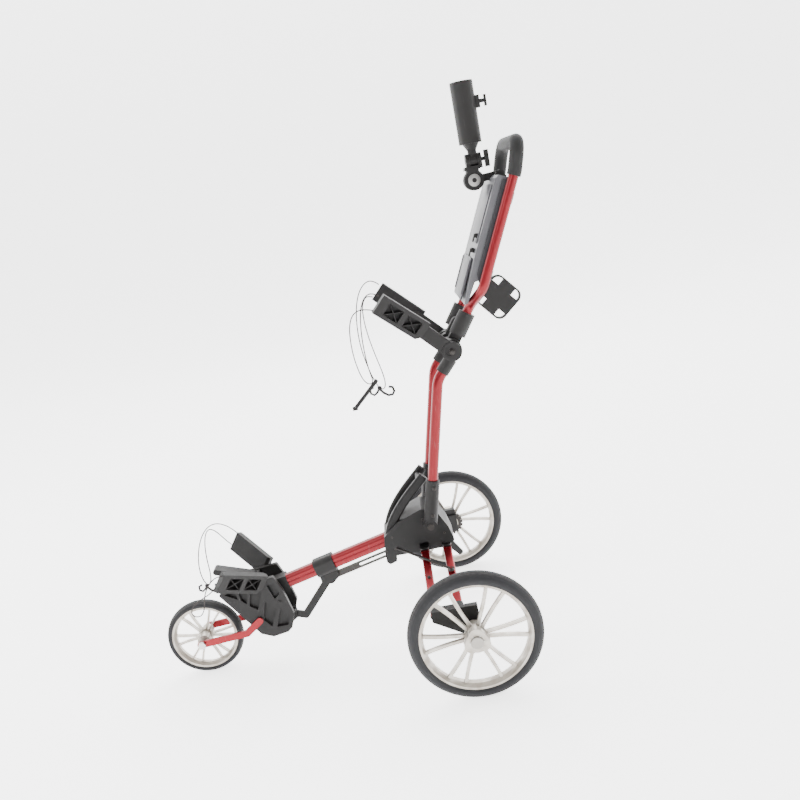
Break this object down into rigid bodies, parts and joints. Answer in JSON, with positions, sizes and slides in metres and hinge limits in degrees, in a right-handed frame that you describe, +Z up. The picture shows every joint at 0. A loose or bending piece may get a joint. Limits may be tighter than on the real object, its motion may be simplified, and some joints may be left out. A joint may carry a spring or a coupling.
{
  "type": "golf push cart",
  "caption": "Three-wheel folding golf push cart with a console, umbrella socket, cup holder, bag cradles and a foot brake; no bag fitted.",
  "frame": {"origin": "on the floor, under the middle of the cart's bounding box", "axes": "+Z up, -X towards the single front wheel, -Y towards the cart's left side, which faces the viewer"},
  "size_m": [1.045, 0.71, 1.27],
  "materials": {
    "red_tube": "gloss",
    "black_plastic": "satin",
    "grey_plastic": "satin",
    "silver_rim": "satin",
    "steel": "satin",
    "tyre": "matte",
    "grip_rubber": "matte",
    "elastic": "matte",
    "hub_cap": "satin"
  },
  "bodies": {
    "frame": {"main_tube": "red_tube", "chassis": "black_plastic", "chassis_pins": "steel", "housing_shell": "black_plastic", "lock_bow": "black_plastic", "tube_nose": "black_plastic"},
    "uprights": {"upright_left": "red_tube", "upright_right": "red_tube", "upright_fittings_left": "black_plastic", "upright_fittings_right": "black_plastic", "head_shaft": "steel"},
    "slider": {"slider_collar": "black_plastic", "slotted_bar": "steel"},
    "lever": {"fold_lever": "black_plastic"},
    "front": {"front_bracket": "black_plastic", "fork_left": "red_tube", "fork_right": "red_tube", "lower_arm_left": "black_plastic", "lower_arm_right": "black_plastic", "bag_rest": "black_plastic", "front_axle_bolt": "steel", "lower_cord_left": "elastic", "lower_cord_right": "elastic"},
    "front_wheel": {"front_tyre": "tyre", "front_rim": "silver_rim"},
    "front_leg_l": {"front_leg_left": "red_tube"},
    "front_leg_r": {"front_leg_right": "red_tube"},
    "rear_leg_l": {"rear_leg_left": "red_tube"},
    "rear_leg_r": {"rear_leg_right": "red_tube"},
    "carrier_l": {"carrier_left": "black_plastic"},
    "carrier_r": {"carrier_right": "black_plastic"},
    "link_rod_l": {"link_rod_left": "steel"},
    "link_rod_r": {"link_rod_right": "steel"},
    "wheel_l": {"rear_tyre_left": "tyre", "rear_rim_left": "silver_rim"},
    "wheel_r": {"rear_tyre_right": "tyre", "rear_rim_right": "silver_rim", "brake_ring": "black_plastic"},
    "button_l": {"hub_button_left": "hub_cap"},
    "button_r": {"hub_button_right": "hub_cap"},
    "pedal": {"brake_pedal": "black_plastic"},
    "upper_cradle": {"upper_arm_left": "black_plastic", "upper_arm_right": "black_plastic", "upper_cord_left": "elastic", "upper_cord_right": "elastic", "cord_toggle": "black_plastic"},
    "handle": {"handle_tube": "red_tube", "handle_grip": "grip_rubber", "handle_collar_left": "black_plastic", "handle_collar_right": "black_plastic", "console_shell": "grey_plastic", "console_bands": "black_plastic", "console_lugs": "black_plastic", "umbrella_arm": "black_plastic"},
    "lid": {"console_lid": "grey_plastic"},
    "cup": {"cup_holder": "black_plastic"},
    "umbrella_swivel": {"umbrella_base": "black_plastic"},
    "umbrella_socket": {"umbrella_tube": "black_plastic"},
    "knob_tilt": {"tilt_knob": "black_plastic"},
    "knob_clamp": {"clamp_knob": "black_plastic"}
  },
  "joints": [
    {"name": "frame_fold", "type": "hinge", "parent": "frame", "child": "uprights", "pos_m": [0.1795, 0, 0.303], "axis": [0, -1, 0], "range_deg": [0, 100]},
    {"name": "slider_travel", "type": "slide", "parent": "frame", "child": "slider", "axis": [0.9744, 0, 0.225], "range_m": [0, 0.06]},
    {"name": "lever_swing", "type": "hinge", "parent": "slider", "child": "lever", "pos_m": [-0.0935, 0, 0.187], "axis": [0, 1, 0], "range_deg": [0, 12.5]},
    {"name": "nose_fold", "type": "hinge", "parent": "frame", "child": "front", "pos_m": [-0.2175, 0, 0.168], "axis": [0, -1, 0], "range_deg": [0, 60.5]},
    {"name": "front_wheel_spin", "type": "hinge", "parent": "front", "child": "front_wheel", "pos_m": [-0.4275, 0, 0.095], "axis": [0, 1, 0], "continuous": true},
    {"name": "front_leg_swing_l", "type": "hinge", "parent": "frame", "child": "front_leg_l", "pos_m": [0.1545, -0.04, 0.229], "axis": [0, 0, 1], "range_deg": [0, 55.5]},
    {"name": "rear_leg_swing_l", "type": "hinge", "parent": "frame", "child": "rear_leg_l", "pos_m": [0.2085, -0.04, 0.229], "axis": [0, 0, 1], "range_deg": [0, 55.5]},
    {"name": "carrier_swing_l", "type": "hinge", "parent": "front_leg_l", "child": "carrier_l", "pos_m": [0.1545, -0.262, 0.184], "axis": [0, 0, -1], "range_deg": [0, 55.5]},
    {"name": "link_rod_swing_l", "type": "hinge", "parent": "rear_leg_l", "child": "link_rod_l", "pos_m": [0.2085, -0.143, 0.22012], "axis": [0, 0, -1], "range_deg": [0, 37.2]},
    {"name": "rear_wheel_spin_l", "type": "hinge", "parent": "carrier_l", "child": "wheel_l", "pos_m": [0.2325, -0.318, 0.146], "axis": [0, 1, 0], "continuous": true},
    {"name": "hub_button_press_l", "type": "slide", "parent": "wheel_l", "child": "button_l", "axis": [0, 1, 0], "range_m": [0, 0.004], "stiffness_N_per_m": 400},
    {"name": "front_leg_swing_r", "type": "hinge", "parent": "frame", "child": "front_leg_r", "pos_m": [0.1545, 0.04, 0.229], "axis": [0, 0, -1], "range_deg": [0, 55.5]},
    {"name": "rear_leg_swing_r", "type": "hinge", "parent": "frame", "child": "rear_leg_r", "pos_m": [0.2085, 0.04, 0.229], "axis": [0, 0, -1], "range_deg": [0, 55.5]},
    {"name": "carrier_swing_r", "type": "hinge", "parent": "front_leg_r", "child": "carrier_r", "pos_m": [0.1545, 0.262, 0.184], "axis": [0, 0, 1], "range_deg": [0, 55.5]},
    {"name": "link_rod_swing_r", "type": "hinge", "parent": "rear_leg_r", "child": "link_rod_r", "pos_m": [0.2085, 0.143, 0.22012], "axis": [0, 0, 1], "range_deg": [0, 37.2]},
    {"name": "rear_wheel_spin_r", "type": "hinge", "parent": "carrier_r", "child": "wheel_r", "pos_m": [0.2325, 0.318, 0.146], "axis": [0, 1, 0], "continuous": true},
    {"name": "hub_button_press_r", "type": "slide", "parent": "wheel_r", "child": "button_r", "axis": [0, -1, 0], "range_m": [0, 0.004], "stiffness_N_per_m": 400},
    {"name": "brake_pedal_swing", "type": "hinge", "parent": "carrier_r", "child": "pedal", "pos_m": [0.1925, 0.269, 0.148], "axis": [0, 1, 0], "range_deg": [0, 15]},
    {"name": "upper_cradle_fold", "type": "hinge", "parent": "uprights", "child": "upper_cradle", "pos_m": [0.2995, 0, 0.709], "axis": [0, -1, 0], "range_deg": [0, 55.5]},
    {"name": "handle_fold", "type": "hinge", "parent": "uprights", "child": "handle", "pos_m": [0.2995, 0, 0.709], "axis": [0, 1, 0], "range_deg": [0, 115]},
    {"name": "console_lid_open", "type": "hinge", "parent": "handle", "child": "lid", "pos_m": [0.48672, 0, 1.0439], "axis": [0, -1, 0], "range_deg": [0, 90]},
    {"name": "cup_holder_open", "type": "hinge", "parent": "handle", "child": "cup", "pos_m": [0.4085, -0.05, 0.846], "axis": [1, 0, 0], "range_deg": [0, 90]},
    {"name": "umbrella_swing", "type": "hinge", "parent": "handle", "child": "umbrella_swivel", "pos_m": [0.4165, 0, 1.062], "axis": [0, 1, 0], "range_deg": [-95, 8]},
    {"name": "umbrella_tilt", "type": "hinge", "parent": "umbrella_swivel", "child": "umbrella_socket", "pos_m": [0.4225, 0, 1.104], "axis": [1, 0, 0], "range_deg": [-20, 20]},
    {"name": "tilt_knob_turn", "type": "hinge", "parent": "umbrella_swivel", "child": "knob_tilt", "pos_m": [0.4225, 0, 1.104], "axis": [1, 0, 0], "continuous": true},
    {"name": "clamp_knob_turn", "type": "hinge", "parent": "umbrella_socket", "child": "knob_clamp", "pos_m": [0.4225, 0, 1.224], "axis": [1, 0, 0], "continuous": true}
  ],
  "couplings": [
    {"joint": "slider_travel", "follows": "frame_fold", "m_per_rad": 0.034},
    {"joint": "lever_swing", "follows": "frame_fold", "ratio": 0.12},
    {"joint": "nose_fold", "follows": "frame_fold", "ratio": 0.6},
    {"joint": "upper_cradle_fold", "follows": "frame_fold", "ratio": 0.55},
    {"joint": "front_leg_swing_l", "follows": "frame_fold", "ratio": 0.55},
    {"joint": "rear_leg_swing_l", "follows": "frame_fold", "ratio": 0.55},
    {"joint": "carrier_swing_l", "follows": "frame_fold", "ratio": 0.55},
    {"joint": "link_rod_swing_l", "follows": "frame_fold", "ratio": 0.368},
    {"joint": "front_leg_swing_r", "follows": "frame_fold", "ratio": 0.55},
    {"joint": "rear_leg_swing_r", "follows": "frame_fold", "ratio": 0.55},
    {"joint": "carrier_swing_r", "follows": "frame_fold", "ratio": 0.55},
    {"joint": "link_rod_swing_r", "follows": "frame_fold", "ratio": 0.368}
  ]
}
